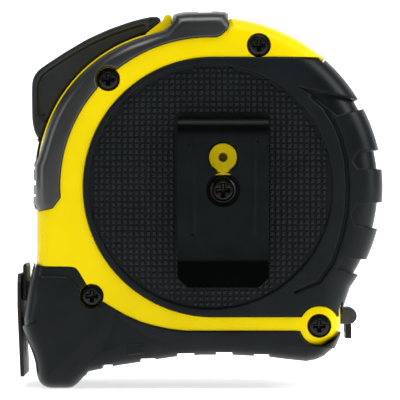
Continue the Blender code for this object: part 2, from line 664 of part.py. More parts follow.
def strap_anchor(steel):
    rod("strap_pin", PIN_R, -EAR_OUT + 1.1, EAR_OUT - 1.1, PIN, steel, 16)
    eyes = []
    for turn in (-1, 1):
        near, far = sorted((turn * BAIL_IN, turn * BAIL_OUT))
        ring = [(PIN_R + GAP, near), (1.9, near), (1.9, far), (PIN_R + GAP, far)]
        eye = turned("strap_bail", ring, PIN, steel, 20)
        leg = block("leg", (PIN[0] - 0.7, near, -32.3), (PIN[0] + 0.7, far, PIN[1] - 1.5), steel)
        eyes.append(add(eye, leg))
    bar = block("bar", (PIN[0] - 0.7, -BAIL_OUT, -33.3), (PIN[0] + 0.7, BAIL_OUT, -31.9), steel)
    bail = add(eyes[0], bar, eyes[1])
    bail.name = "strap_bail"


def place_all():
    """Hangs every piece from one empty on the reel's axis, and moves pieces' origins onto their own axes."""
    axis = bpy.data.objects.new("reel_axis", None)
    bpy.context.scene.collection.objects.link(axis)
    axis.location = AXIS_PLACE * MM
    for obj in bpy.data.objects:
        if obj.type == "MESH":
            pivot = Vector(PIVOTS.get(obj.name, (0, 0, 0))) * MM
            obj.data.transform(Matrix.Translation(-pivot))
            obj.location = pivot
            obj.parent = axis


def main():
    clear_scene()
    yellow = material("abs_yellow", (0.80, 0.66, 0.0), 0.35)
    rubber = material("black_rubber", (0.020, 0.024, 0.026), 0.6)
    grey_rubber = material("grey_rubber", (0.045, 0.047, 0.05), 0.55)
    black_plastic = material("black_plastic", (0.03, 0.033, 0.035), 0.45)
    inner_plastic = material("inner_plastic", (0.6, 0.6, 0.58), 0.5)
    black_steel = material("black_steel", (0.02, 0.021, 0.021), 0.3, 0.8)
    bright_steel = material("bright_steel", (0.55, 0.55, 0.55), 0.3, 1.0)
    spring_steel = material("spring_steel", (0.25, 0.27, 0.32), 0.3, 1.0)
    tape = material("tape_yellow", (0.85, 0.68, 0.02), 0.4)
    for side in (BACK, FRONT):
        case_shell(side, yellow)
        rear_grip(side, rubber)
        nose_bumper(side, rubber)
        top_grip(side, grey_rubber)
    front_label(black_plastic)
    case_screws(black_steel)
    reel(inner_plastic, bright_steel, spring_steel, tape)
    for number in range(1, SECTIONS + 1):
        blade_section(number, tape)
    end_hook(black_steel)
    hook_rivets(bright_steel)
    mouth(black_plastic, rubber, bright_steel)
    lock_lever(black_plastic)
    lock_parts(rubber, spring_steel)
    belt_clip(black_steel)
    clip_screw(black_steel)
    strap_anchor(black_steel)
    place_all()


main()
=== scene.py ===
"""Looks of the tape measure: shaped shells, grips, lever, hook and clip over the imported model, and every material."""

import json
from math import cos, pi, radians, sin

import bmesh
import bpy
import numpy as np
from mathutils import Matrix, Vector


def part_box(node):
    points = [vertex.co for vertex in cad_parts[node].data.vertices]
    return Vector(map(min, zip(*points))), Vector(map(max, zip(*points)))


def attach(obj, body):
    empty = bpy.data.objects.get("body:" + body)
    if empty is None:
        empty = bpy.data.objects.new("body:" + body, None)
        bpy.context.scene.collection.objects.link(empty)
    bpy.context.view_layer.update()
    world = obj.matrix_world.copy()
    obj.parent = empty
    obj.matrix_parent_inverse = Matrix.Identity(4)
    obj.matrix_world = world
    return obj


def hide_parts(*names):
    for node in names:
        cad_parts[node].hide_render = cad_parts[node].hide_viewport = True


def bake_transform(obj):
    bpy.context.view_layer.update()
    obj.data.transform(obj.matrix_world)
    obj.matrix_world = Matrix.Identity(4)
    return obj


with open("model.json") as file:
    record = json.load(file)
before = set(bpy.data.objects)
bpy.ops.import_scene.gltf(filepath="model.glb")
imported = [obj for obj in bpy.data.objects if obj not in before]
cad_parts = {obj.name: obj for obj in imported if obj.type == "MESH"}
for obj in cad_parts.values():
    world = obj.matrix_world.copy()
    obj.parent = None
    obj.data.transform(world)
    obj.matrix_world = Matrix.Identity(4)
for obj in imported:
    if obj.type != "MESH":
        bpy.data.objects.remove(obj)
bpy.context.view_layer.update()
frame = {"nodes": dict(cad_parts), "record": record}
NODES = frame["nodes"]

MM = 0.001
BACK = -1
FRONT = 1
SIDE_NAMES = {BACK: "back", FRONT: "front"}

# The reel's axis is the origin of every outline below, in millimetres: x runs to the rear and z up, and a depth is
# counted from the parting plane. The clip is on the back half.
AXIS = sum(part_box("centre_post"), Vector()) / 2

# The case: clearance between pieces, the round panel and the rear about one centre, the lever's seat about another.
GAP = 0.3
PANEL = (-2.2, 0.66)
PANEL_R = 28.5
CASE_R = 37.7
SHELL_REAR_R = 34.6
SEAT = (-8.45, 3.04)
SEAT_R = 32.7

# Depths: the yellow and the rubber faces, both sides of the wall, the panel's floor, and where the sides turn over.
SHELL_DEPTH = 19.6
RUBBER_DEPTH = 20.0
WALL_IN = 14.6
WALL_OUT = 16.6
FLOOR = 19.2
SHOULDER_START = 13.0
SHOULDER_REACH = 3.1
# Each half stops this far short of the parting plane.
PARTING = 0.04
# A tool between these depths cuts a half right through.
INSIDE = -1
OUTSIDE = 30

# The round eye about the rear screw, all four case screws, the clip's screw with its keyhole boss, and the strap's pin.
RING = (21.2, -29.9)
RING_R = 4.3
SCREWS = ((-25.3, 24.4), (7.9, 31.9), (-28.9, -23.3), RING)
HEAD_R = 2.5
HEAD_SEAT = 17.6
SHANK_HOLE_R = 1.7
CLIP_SCREW = (0, 0)
BOSS = (0.0, 7.2)
BOSS_R = 3.05
PIN = (28.3, -28.2)

# The panel's studs, a little off its centre, and the blade's half width and hollow.
STUD_PITCH = 1.29
STUD_CENTRE = (PANEL[0] - 0.5, PANEL[1])
STUD_REACH = 26.2
BLADE_HALF = 12.5
BLADE_RISE = 2.0


# ---------------------------------------------------------------- materials


class Nodes:
    """Short way to wire one material's node tree."""

    def __init__(self, name):
        self.material = bpy.data.materials.new(name)
        self.material.use_nodes = True
        self.tree = self.material.node_tree
        self.shader = self.tree.nodes["Principled BSDF"]
        self.coords = self.tree.nodes.new("ShaderNodeTexCoord").outputs["Object"]

    def add(self, kind, **settings):
        """Adds a node. Each setting is an input's value if the node has such an input, or else a property."""
        node = self.tree.nodes.new(kind)
        for key, value in settings.items():
            if key in node.inputs:
                node.inputs[key].default_value = value
            else:
                setattr(node, key, value)
        return node

    def link(self, source, target):
        self.tree.links.new(source, target)

    def noise(self, scale, detail=3.0, rough=0.55):
        node = self.add("ShaderNodeTexNoise", Scale=scale, Detail=detail, Roughness=rough)
        self.link(self.coords, node.inputs["Vector"])
        return node.outputs["Fac"]

    def ramp(self, source, low, high, start=0.35, end=0.65):
        """Maps a 0 to 1 value onto a range of colours."""
        node = self.add("ShaderNodeValToRGB")
        for element, place, colour in zip(node.color_ramp.elements, (start, end), (low, high)):
            element.position = place
            element.color = (*colour, 1)
        self.link(source, node.inputs["Fac"])
        return node.outputs["Color"]

    def span(self, source, low, high, start=0.0, end=1.0):
        """Maps start to end onto low to high, and holds the value at either end."""
        node = self.add("ShaderNodeMapRange")
        for name, value in (("From Min", start), ("From Max", end), ("To Min", low), ("To Max", high)):
            node.inputs[name].default_value = value
        self.link(source, node.inputs["Value"])
        return node.outputs["Result"]

    def place(self, axis):
        """The surface point's X, Y or Z, in metres."""
        node = self.add("ShaderNodeSeparateXYZ")
        self.link(self.coords, node.inputs["Vector"])
        return node.outputs[axis]

    def mixed(self, first, second, factor, blend_type="MIX"):
        """Two colours mixed. Second is an output or a plain colour, and so is factor an output or a number."""
        node = self.add("ShaderNodeMix", data_type="RGBA", blend_type=blend_type)
        self.link(first, node.inputs["A"])
        for value, socket in ((second, "B"), (factor, "Factor")):
            if isinstance(value, bpy.types.NodeSocket):
                self.link(value, node.inputs[socket])
            else:
                node.inputs[socket].default_value = value
        return node.outputs["Result"]

    def bump(self, source, height, before=None):
        node = self.add("ShaderNodeBump", Distance=height * MM, Strength=1.0)
        self.link(source, node.inputs["Height"])
        if before:
            self.link(before, node.inputs["Normal"])
        return node.outputs["Normal"]

    def rounded(self, radius):
        """Normal of a surface whose sharp edges are eased over radius millimetres."""
        node = self.add("ShaderNodeBevel", samples=6)
        node.inputs["Radius"].default_value = radius * MM
        return node.outputs["Normal"]

    def set(self, **values):
        """Sets the shader's own sockets, with _ for a space."""
        for key, value in values.items():
            self.shader.inputs[key.replace("_", " ")].default_value = value

    def finish(self, colour=None, roughness=None, normal=None):
        for source, target in ((colour, "Base Color"), (roughness, "Roughness"), (normal, "Normal")):
            if source is not None:
                self.link(source, self.shader.inputs[target])
        return self.material


def moulded(name, low, high, rough, grain=900.0, grain_height=0.01, worn=None, specular=0.5, edge=0.35):
    """Moulded plastic or rubber: faint colour drift, fine skin grain, and broad sink marks."""
    n = Nodes(name)
    n.set(Specular_IOR_Level=specular)
    colour = n.ramp(n.noise(120.0, 4.0), low, high)
    if worn:
        scuffs = n.ramp(n.noise(900.0, 6.0, 0.7), (0, 0, 0), (0.5, 0.5, 0.5), 0.62, 0.74)
        colour = n.mixed(colour, (*worn, 1), scuffs)
    roughness = n.span(n.noise(260.0, 5.0), *rough)
    grain_out = n.bump(n.noise(grain * 5, 2.0), grain_height, n.rounded(edge))
    return n.finish(colour, roughness, n.bump(n.noise(55.0, 1.0), 0.05, grain_out))


def metal(name, low, high, rough, metallic=1.0, grain=0.004, stretch=(1, 1, 1)):
    """Steel with a drawn or tumbled grain."""
    n = Nodes(name)
    n.set(Metallic=metallic)
    mapping = n.add("ShaderNodeMapping")
    mapping.inputs["Scale"].default_value = stretch
    n.link(n.coords, mapping.inputs["Vector"])
    lines = n.add("ShaderNodeTexNoise", Scale=2600.0, Detail=4.0)
    n.link(mapping.outputs["Vector"], lines.inputs["Vector"])
    colour = n.ramp(n.noise(180.0, 5.0), low, high)
    roughness = n.span(lines.outputs["Fac"], *rough)
    return n.finish(colour, roughness, n.bump(lines.outputs["Fac"], grain))


def lacquered_strip():
    """Black lacquer on spring steel, with painted shade: the fold and the lip are darker than the flat."""
    n = Nodes("clip_lacquer_painted_shade")
    n.set(Specular_IOR_Level=0.05)
    # Painted shade by height: the lip at the bottom is taken down to 0.15 and the fold at the top to 0.25 of the flat's
    # colour.
    height = n.span(n.place("Z"), 0, 1, AXIS.z - 22 * MM, AXIS.z + 16 * MM)
    painted_shade = n.add("ShaderNodeValToRGB")
    ramp = painted_shade.color_ramp
    for place, value in ((0.165, 0.15), (0.185, 1.0), (0.88, 1.0), (0.92, 0.25)):
        element = ramp.elements.new(place)
        element.color = (value, value, value, 1)
    ramp.elements[0].color = (0.15, 0.15, 0.15, 1)
    ramp.elements[-1].color = (0.25, 0.25, 0.25, 1)
    n.link(height, painted_shade.inputs["Fac"])
    colour = n.ramp(n.noise(180.0, 5.0), (0.0048, 0.0062, 0.0062), (0.007, 0.0086, 0.0086))
    colour = n.mixed(colour, painted_shade.outputs["Color"], 1.0, "MULTIPLY")
    grain = n.noise(2600.0, 4.0)
    return n.finish(colour, n.span(grain, 0.2, 0.3), n.bump(grain, 0.002, n.rounded(0.15)))


YELLOW = moulded("yellow_abs", (0.735, 0.565, 0.0), (0.765, 0.59, 0.0), (0.32, 0.4), 700.0, 0.004,
                 specular=0.08, edge=0.3)
RUBBER = moulded("black_rubber", (0.0038, 0.0056, 0.0064), (0.0062, 0.0084, 0.0094), (0.3, 0.4), 900.0, 0.006,
                 (0.022, 0.026, 0.028), 0.125, 0.6)
# A lighter copy of the black rubber for the panel's studs: painted light standing in for the glints on their facets.
LIT_STUD_RUBBER = moulded("stud_rubber_painted_light", (0.0048, 0.007, 0.008), (0.0078, 0.0104, 0.0117), (0.28, 0.38), 900.0, 0.006,
                      (0.022, 0.026, 0.028), 0.2, 0.3)
GREY_RUBBER = moulded("grey_rubber", (0.013, 0.0133, 0.0136), (0.019, 0.0193, 0.0196), (0.26, 0.36), 900.0, 0.005,
                      (0.05, 0.05, 0.053), 0.68, 0.6)
LEVER = moulded("lever_nylon", (0.008, 0.0105, 0.012), (0.012, 0.015, 0.017), (0.36, 0.48), 800.0, 0.006,
                (0.04, 0.045, 0.05), 0.35, 0.2)
BLACK_PLASTIC = moulded("black_plastic", (0.018, 0.020, 0.022), (0.026, 0.028, 0.030), (0.38, 0.5))
INNER_PLASTIC = moulded("inner_acetal", (0.55, 0.55, 0.52), (0.64, 0.64, 0.61), (0.4, 0.55))
CLIP_STEEL = lacquered_strip()
BLACK_STEEL = metal("black_oxide", (0.006, 0.006, 0.006), (0.014, 0.014, 0.013), (0.18, 0.34), 0.7)
HOOK_STEEL = metal("hook_phosphate", (0.018, 0.018, 0.018), (0.03, 0.03, 0.029), (0.34, 0.5), 0.8)
BRIGHT_STEEL = metal("bright_steel", (0.52, 0.52, 0.51), (0.62, 0.62, 0.61), (0.2, 0.34), 1.0, 0.003, (1, 6, 1))
SPRING_STEEL = metal("spring_steel", (0.10, 0.12, 0.17), (0.2, 0.22, 0.28), (0.22, 0.36), 1.0, 0.003, (1, 12, 1))
INK = moulded("printing_ink", (0.010, 0.010, 0.010), (0.016, 0.016, 0.016), (0.35, 0.5), 700.0, 0.002)
TAPE = moulded("tape_lacquer", (0.80, 0.63, 0.02), (0.86, 0.69, 0.03), (0.3, 0.4), 700.0, 0.003)

# The blade's sections from the inmost out: number, body, x of the ruler's zero at rest, and the numbers printed on it.
BLADE_PRINT = (
    (1, "blade_inner", -98.9, (7, 8)),
    (2, "blade_middle", -71.9, (4, 5)),
    (3, "blade_tip", -44.9, (1, 2, 3)),
)
# Every so many millimetres, a mark that reaches so far in from both edges.
RULER_MARKS = ((1, 3.2), (5, 5.0), (10, 7.0))
MARK_WIDTH = 0.17


def printed_tape(number, zero):
    """Yellow blade lacquer with the ruler's marks along both edges."""
    n = Nodes(f"tape_print_{number}")

    def maths(operation, first, second):
        """First is an output. Second is another, or a number."""
        node = n.add("ShaderNodeMath", operation=operation)
        n.link(first, node.inputs[0])
        if isinstance(second, bpy.types.NodeSocket):
            n.link(second, node.inputs[1])
        else:
            node.inputs[1].default_value = second
        return node.outputs["Value"]

    # A whole metre more keeps the place along the blade above zero, so that its remainder is too.
    along = maths("ADD", maths("DIVIDE", n.place("X"), MM), 1000 - AXIS.x / MM - zero)
    from_middle = maths("ABSOLUTE", maths("SUBTRACT", maths("DIVIDE", n.place("Y"), MM), AXIS.y / MM), 0)
    marks = []
    for pitch, reach in RULER_MARKS:
        line = maths("LESS_THAN", maths("MODULO", along, pitch), MARK_WIDTH)
        marks.append(maths("MULTIPLY", line, maths("GREATER_THAN", from_middle, BLADE_HALF - reach)))
    ink = maths("MAXIMUM", maths("MAXIMUM", marks[0], marks[1]), marks[2])
    lacquer = n.ramp(n.noise(120.0, 4.0), (0.76, 0.58, 0.01), (0.8, 0.62, 0.015))
    colour = n.mixed(lacquer, (0.012, 0.012, 0.012, 1), ink)
    return n.finish(colour, n.span(n.noise(300.0, 5.0), 0.3, 0.42), n.bump(n.noise(3500.0, 2.0), 0.003))


CAD_MATERIALS = {
    "case_yellow": YELLOW, "black_rubber": RUBBER, "grey_rubber": GREY_RUBBER, "black_plastic": BLACK_PLASTIC,
    "lever_plastic": LEVER, "inner_plastic": INNER_PLASTIC, "black_steel": BLACK_STEEL, "clip_steel": CLIP_STEEL,
    "hook_steel": HOOK_STEEL, "bright_steel": BRIGHT_STEEL, "spring_steel": SPRING_STEEL, "blade": TAPE,
}


def dress_cad():
    """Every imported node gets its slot's own material."""
    slots = {part["node"]: part["material_slot"] for part in frame["record"]["subparts"]}
    for name, node in NODES.items():
        node.data.materials.clear()
        node.data.materials.append(CAD_MATERIALS[slots[name]])
    for number, _, zero, _ in BLADE_PRINT:
        NODES[f"blade_section_{number}"].data.materials[0] = printed_tape(number, zero)


# ---------------------------------------------------------------- outlines


def arc(centre, radius, start, end, steps):
    """Points from one angle to another, in degrees."""
    angles = [radians(start + (end - start) * step / steps) for step in range(steps + 1)]
    return [(centre[0] + radius * cos(a), centre[1] + radius * sin(a)) for a in angles]


def circle(centre, radius, steps=48):
    return arc(centre, radius, 0, 360, steps)[:-1]


def rectangle(low, high):
    return [low, (high[0], low[1]), high, (low[0], high[1])]


def neighbours(points):
    """Each point with the one before it and the one after it, round a closed outline."""
    return zip(points[-1:] + points[:-1], points, points[1:] + points[:1])


def filleted(points, reach, steps=4, least=9):
    """Rounds every corner sharper than least degrees, taking up to reach of each side."""
    result = []
    for before, here, after in neighbours([Vector(p) for p in points]):
        back = before - here
        ahead = after - here
        if degrees_between(-back, ahead) < least:
            result.append(tuple(here))
            continue
        start = here + back.normalized() * min(reach, back.length * 0.45)
        end = here + ahead.normalized() * min(reach, ahead.length * 0.45)
        for step in range(steps + 1):
            t = step / steps
            result.append(tuple(start * (1 - t) ** 2 + here * (2 * t * (1 - t)) + end * t ** 2))
    return result


def degrees_between(a, b):
    return abs(a.angle_signed(b, 0)) * 180 / pi


def clearance(points, outline):
    """Each point's distance to an outline."""
    start = np.array(outline)
    along = np.roll(start, -1, axis=0) - start
    length = np.maximum((along ** 2).sum(axis=1), 1e-9)
    offset = np.array(points)[:, None, :] - start[None]
    share = np.clip((offset * along).sum(axis=2) / length, 0, 1)
    return np.sqrt(((offset - share[..., None] * along) ** 2).sum(axis=2)).min(axis=1)


def crossing(a, a_way, b, b_way):
    """Where two lines meet, or None if they are nearly parallel."""
    turn = a_way[0] * b_way[1] - a_way[1] * b_way[0]
    if abs(turn) < 0.05 * np.hypot(*a_way) * np.hypot(*b_way):
        return None
    share = ((b[0] - a[0]) * b_way[1] - (b[1] - a[1]) * b_way[0]) / turn
    return (a[0] + share * a_way[0], a[1] + share * a_way[1])


def uncrossed(points, reach=14):
    """Where the outline loops over itself within reach points, the loop's points meet where it crosses."""
    count = len(points)
    points = [tuple(point) for point in points]
    for start in range(count):
        for step in range(reach, 1, -1):
            a, b = points[start], points[(start + 1) % count]
            c, d = points[(start + step) % count], points[(start + step + 1) % count]
            ab, cd, ac = np.subtract(b, a), np.subtract(d, c), np.subtract(c, a)
            turn = ab[0] * cd[1] - ab[1] * cd[0]
            if abs(turn) < 1e-9:
                continue
            share = (ac[0] * cd[1] - ac[1] * cd[0]) / turn
            other = (ac[0] * ab[1] - ac[1] * ab[0]) / turn
            if 0 < share < 1 and 0 < other < 1:
                for index in range(start + 1, start + step + 1):
                    points[index % count] = (a[0] + share * ab[0], a[1] + share * ab[1])
                break
    return points


def grown(outline, amount):
    """The outline with each side moved outwards by amount, or inwards if it is negative.

    Points that would pass each other in a tight corner meet in one point.
    """
    area = sum(a[0] * b[1] - b[0] * a[1] for a, b in zip(outline, outline[1:] + outline[:1]))
    turn = 1 if area > 0 else -1
    moved = []
    for before, here, after in neighbours(outline):
        first = Vector((here[0] - before[0], here[1] - before[1])).normalized()
        second = Vector((after[0] - here[0], after[1] - here[1])).normalized()
        shared = Vector((first.y + second.y, -first.x - second.x)) * turn
        shift = shared * (2 * amount / max(shared.length_squared, 0.8))
        moved.append((here[0] + shift.x, here[1] + shift.y))
    clear = clearance(moved, outline) > abs(amount) * 0.97 - 0.005
    if clear.all() or not clear.any():
        return uncrossed(moved)
    count = len(outline)
    first_clear = int(np.argmax(clear))
    index = first_clear
    while index < first_clear + count:
        run = 1
        while not clear[(index + run) % count]:
            run += 1
        if run > 1:
            last, ahead = index % count, (index + run) % count
            leaving = np.subtract(outline[(last + 1) % count], outline[last])
            arriving = np.subtract(outline[ahead], outline[(ahead - 1) % count])
            corner = crossing(moved[last], leaving, moved[ahead], arriving)
            halfway = tuple((np.array(moved[last]) + moved[ahead]) / 2)
            if corner is None or np.hypot(*np.subtract(corner, halfway)) > 1.5:
                corner = halfway
            for step in range(1, run):
                moved[(index + step) % count] = corner
        index += run
    return uncrossed(moved)


# ---------------------------------------------------------------- solids


def link_mesh(name, bm, surface):
    """Makes the object, with its faces outwards and doubled points joined."""
    bmesh.ops.remove_doubles(bm, verts=bm.verts, dist=1e-7)
    bmesh.ops.recalc_face_normals(bm, faces=bm.faces)
    mesh = bpy.data.meshes.new(name)
    bm.to_mesh(mesh)
    bm.free()
    mesh.materials.append(surface)
    obj = bpy.data.objects.new(name, mesh)
    bpy.context.scene.collection.objects.link(obj)
    return obj


def skin(bm, rings):
    """A closed skin over rings of (x, y, z) points, capped at both ends."""
    loops = [[bm.verts.new(AXIS + Vector(p) * MM) for p in ring] for ring in rings]
    for low, high in zip(loops, loops[1:]):
        for i in range(len(low)):
            j = (i + 1) % len(low)
            bm.faces.new((low[i], low[j], high[j], high[i]))
    bm.faces.new(loops[0])
    bm.faces.new(loops[-1])


def pillow(name, outline, levels, surface, side=FRONT):
    """An outline carried through (depth, growth) levels from the parting plane towards one side."""
    bm = bmesh.new()
    rings = []
    for depth, growth in levels:
        ring = grown(outline, growth) if growth else outline
        rings.append([(x, side * depth, z) for x, z in ring])
    skin(bm, rings)
    return link_mesh(name, bm, surface)


def prism(name, outline, near, far, surface, side=FRONT):
    """An outline carried straight from one depth to another."""
    return pillow(name, outline, ((near, 0), (far, 0)), surface, side)


def across(name, outline, low, high, surface):
    """An outline of (depth, z) points carried along x."""
    bm = bmesh.new()
    skin(bm, [[(x, y, z) for y, z in outline] for x in (low, high)])
    return link_mesh(name, bm, surface)


def block(name, low, high, surface):
    """A box between two corners."""
    bm = bmesh.new()
    ring = rectangle(low[:2], high[:2])
    skin(bm, [[(x, y, z) for x, y in ring] for z in (low[2], high[2])])
    return link_mesh(name, bm, surface)


def shoulder(depth, reach=SHOULDER_REACH, base=PARTING):
    """Levels of a flat side that turns over into the face on a quarter ellipse."""
    levels = [(base, 0)]
    steps = 8
    for step in range(steps + 1):
        turn = 0.5 * pi * step / steps
        levels.append((SHOULDER_START + (depth - SHOULDER_START) * sin(turn), -reach * (1 - cos(turn))))
    return levels


def applied(obj, modifier):
    """Applies an object's only modifier."""
    graph = bpy.context.evaluated_depsgraph_get()
    graph.update()
    mesh = bpy.data.meshes.new_from_object(obj.evaluated_get(graph))
    obj.modifiers.remove(modifier)
    old = obj.data
    obj.data = mesh
    bpy.data.meshes.remove(old)
    obj.data.name = obj.name


def combine(obj, tools, operation):
    """Runs exact Booleans, one tool after another, and keeps the object's own material."""
    for tool in tools:
        step = obj.modifiers.new("shape", "BOOLEAN")
        step.operation = operation
        step.solver = "EXACT"
        step.object = tool
        applied(obj, step)
        bpy.data.objects.remove(tool, do_unlink=True)
    while len(obj.data.materials) > 1:
        obj.data.materials.pop(index=len(obj.data.materials) - 1)
    return obj


def cut(obj, *tools):
    return combine(obj, tools, "DIFFERENCE")


def add(obj, *tools):
    return combine(obj, tools, "UNION")


def keep(obj, tool):
    return combine(obj, [tool], "INTERSECT")


def polish(obj, width=0.0, segments=2, angle=35, weld=0.03):
    """Shades by angle. A small part with a width also has its slivers cleaned and its sharp edges rounded."""
    if width:
        bm = bmesh.new()
        bm.from_mesh(obj.data)
        bmesh.ops.remove_doubles(bm, verts=bm.verts, dist=weld * MM)
        bmesh.ops.dissolve_degenerate(bm, dist=weld * MM, edges=bm.edges)
        bmesh.ops.triangulate(bm, faces=[face for face in bm.faces if len(face.verts) > 4])
        bm.to_mesh(obj.data)
        bm.free()
        step = obj.modifiers.new("edge", "BEVEL")
        step.width = width * MM
        step.segments = segments
        step.limit_method = "ANGLE"
        step.angle_limit = radians(angle)
        step.use_clamp_overlap = False
        step.miter_outer = "MITER_ARC"
        applied(obj, step)
    obj.data.shade_smooth()
    obj.data.set_sharp_from_angle(angle=radians(30))
    if width:
        step = obj.modifiers.new("shading", "WEIGHTED_NORMAL")
        step.keep_sharp = True
        step.weight = 60
    return obj


def settle(obj, body, slot, *replaced):
    """Rides on a body and stands for CAD nodes. Its slot is not used."""
    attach(obj, body)
    if replaced:
        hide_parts(*replaced)
    return obj


# ---------------------------------------------------------------- case outlines

TOP_EDGE = arc(PANEL, CASE_R, 49, 84, 24)
NOSE_EDGE = filleted([(-41.6, -14.8), (-42.5, -16.4), (-43.7, -21.8), (-44.65, -28.5), (-44.5, -30.5), (-43.6, -33.0),
                      (-42.6, -35.2), (-41.6, -38.0), (-41.3, -41.2), (-40.5, -42.9), (-38.9, -43.9), (-33.6, -43.9),
                      (-32.4, -43.1), (-30.4, -40.9), (-27.4, -40.1)], 1.2)[5:-5]
HEEL_EDGE = [(-23.0, -39.3), (-19.0, -38.7), (-14.0, -37.9), (-10.5, -37.4), (-5.0, -37.0), (2.0, -37.0),
             (6.0, -37.2), (10.6, -37.5), (14.5, -38.0), (18.5, -38.4), (20.8, -38.0), (22.7, -37.1),
             (24.8, -35.3), (26.0, -32.6), (26.6, -30.0), (26.6, -26.5)]
SHELL_NOSE = [(-41.3, -5.0), (-41.3, -16.4), (-41.9, -20.0), (-41.9, -33.0), (-39.6, -41.2), (-33.8, -41.2),
              (-29.5, -38.2), (-26.0, -37.0), (-10.0, -34.7), (8.0, -34.5), (18.0, -35.8), (22.0, -34.9),
              (25.0, -32.6), (26.1, -30.4), (26.1, -25.3)]
LIP = [(-11.4, 34.0), (-11.4, 38.5), (-11.7, 38.8), (-12.6, 38.8), (-13.0, 38.4), (-13.3, 37.6), (-17.0, 34.7),
       (-17.0, 34.0)]


def shell_outline():
    """The yellow case's outline, under the rubber."""
    rear = arc(PANEL, SHELL_REAR_R, -38, 48.5, 40)
    under_block = arc(PANEL, 36.4, 86, 104, 10)
    return rear + TOP_EDGE + under_block + arc(SEAT, SEAT_R, 108, 186, 44) + SHELL_NOSE


def case_outline():
    """The outline with the rubber on."""
    rear = arc(PANEL, CASE_R, -36, 48, 46)
    block = filleted([(1.5, 37.6), (1.3, 39.5), (-1.5, 39.75), (-8.5, 39.6), (-11.1, 39.1), (-11.4, 37.6)], 1.0)[5:-5]
    front = [(-13.2, 35.9)] + arc(SEAT, SEAT_R, 108, 162, 30)
    ribs = [(-41.2, 7.6), (-42.0, 5.6), (-42.1, -3.0), (-41.3, -5.0)]
    return rear + TOP_EDGE + block + front + ribs + NOSE_EDGE + HEEL_EDGE


def grip_region():
    """What the rear grip covers of a side: the round panel, and all behind it."""
    half = arc(PANEL, PANEL_R, 90, 270, 90)
    return half + [(44.0, PANEL[1] - PANEL_R), (44.0, PANEL[1] + PANEL_R)]


def bumper_region():
    """What the nose bumper covers of a side: the nose, the foot and the underside."""
    inner = [(26.6, -31.6), (15.6, -31.1), (-8.0, -31.1), (-11.2, -30.8), (-14.7, -30.1), (-18.3, -29.1),
             (-21.8, -27.5), (-25.3, -25.5), (-28.4, -23.2), (-30.2, -20.8), (-32.3, -17.3), (-33.4, -17.0),
             (-40.3, -16.9), (-41.0, -16.3)]
    return filleted(inner + [(-47.0, -14.9), (-47.0, -48.0), (30.0, -48.0), (30.0, -31.6)], 1.0)


def top_grip_region():
    """What the top grip covers of a side: the band beside the lever, its ribbed end and the block on top."""
    band_edge = arc((-2.9, 0.66), 33.1, 86, 184, 60)
    end = [(-37.6, -3.9), (-40.7, -4.6), (-46.0, -4.6), (-46.0, 9.6)]
    seat = arc(SEAT, SEAT_R - 0.2, 167, 107, 34)
    block = [(-14.0, 35.0), (-11.2, 36.6), (-11.2, 44.0), (1.2, 44.0), (1.2, 36.4), (0.6, 35.2), (-0.4, 34.2)]
    return band_edge[1:] + end + seat + block


# ---------------------------------------------------------------- case halves

ARM_SLOT = arc(SEAT, SEAT_R - 3.2, 156, 177, 8) + arc(SEAT, SEAT_R + 1.0, 177, 156, 8)
CAVITY = (arc(PANEL, 32.4, -38, 100, 40) + arc(SEAT, SEAT_R - 2.0, 108, 183, 20)
          + [(-39.2, -5.0), (-39.2, -17.0), (-40.6, -20.5), (-40.4, -33.0), (-38.3, -39.6), (-34.6, -39.6),
             (-30.3, -36.6), (-26.5, -35.2), (-10.2, -33.1), (8.0, -32.9), (17.8, -34.0), (21.2, -33.2),
             (23.6, -31.4), (24.2, -29.6), (24.2, -24.5)])
STRAP_SPACE = rectangle((25.3, -33.6), (33.0, -25.6))
KEYHOLE = arc(BOSS, BOSS_R, -64, 244, 48) + [(-1.3, 3.9), (-1.75, 3.3), (1.75, 3.3), (1.3, 3.9)]


def build_shell(side):
    obj = pillow("case_half_" + SIDE_NAMES[side], shell_outline(), shoulder(SHELL_DEPTH), YELLOW, side)
    for region in (grip_region(), bumper_region(), top_grip_region()):
        pocket = prism("pocket", grown(region, GAP / 2), WALL_OUT, OUTSIDE, YELLOW, side)
        cut(obj, cut(pocket, prism("round_eye", circle(RING, RING_R), INSIDE, OUTSIDE, YELLOW, side)))
    add(obj, prism("lip", LIP, PARTING, 15.0, YELLOW, side))
    cut(obj, prism("cavity", CAVITY, INSIDE, WALL_IN, YELLOW, side))
    for centre in SCREWS:
        add(obj, prism("boss", circle(centre, 2.9, 24), PARTING, WALL_IN + 1, YELLOW, side))
    if side == BACK:
        add(obj, prism("clip_boss", KEYHOLE, WALL_IN + 1, 21.3, YELLOW, side))
        cut(obj, prism("boss_hole", circle(BOSS, 1.0, 24), 16.0, OUTSIDE, YELLOW, side))
    for centre in SCREWS:
        end = OUTSIDE if side == BACK else 10
        cut(obj, prism("shank_hole", circle(centre, SHANK_HOLE_R, 20), INSIDE, end, YELLOW, side))
        if side == BACK:
            cut(obj, prism("head_hole", circle(centre, HEAD_R + 0.15, 36), HEAD_SEAT - GAP, OUTSIDE, YELLOW, side))
    if side == BACK:
        cut(obj, prism("clip_screw_hole", circle(CLIP_SCREW, SHANK_HOLE_R, 24), 10, OUTSIDE, YELLOW, side))
    cut(obj, prism("mouth", rectangle((-46, -32.7), (-39, -27.5)), INSIDE, 13.1, YELLOW, side))
    cut(obj, prism("arm_slot", ARM_SLOT, INSIDE, 4.4, YELLOW, side))
    return polish(obj)


def build_ear(side):
    """Ear that holds one end of the wrist-strap pin."""
    ear = [(25.4, -30.0)] + arc(PIN, 1.75, -90, 90, 20) + [(25.4, -26.4)]
    obj = prism("strap_ear_" + SIDE_NAMES[side], ear, 4.4, 7.0, BLACK_PLASTIC, side)
    cut(obj, prism("pin_hole", circle(PIN, 1.2, 32), 3.4, 6.2, BLACK_PLASTIC, side))
    return polish(obj, 0.25, 3)


# ---------------------------------------------------------------- rubber grips


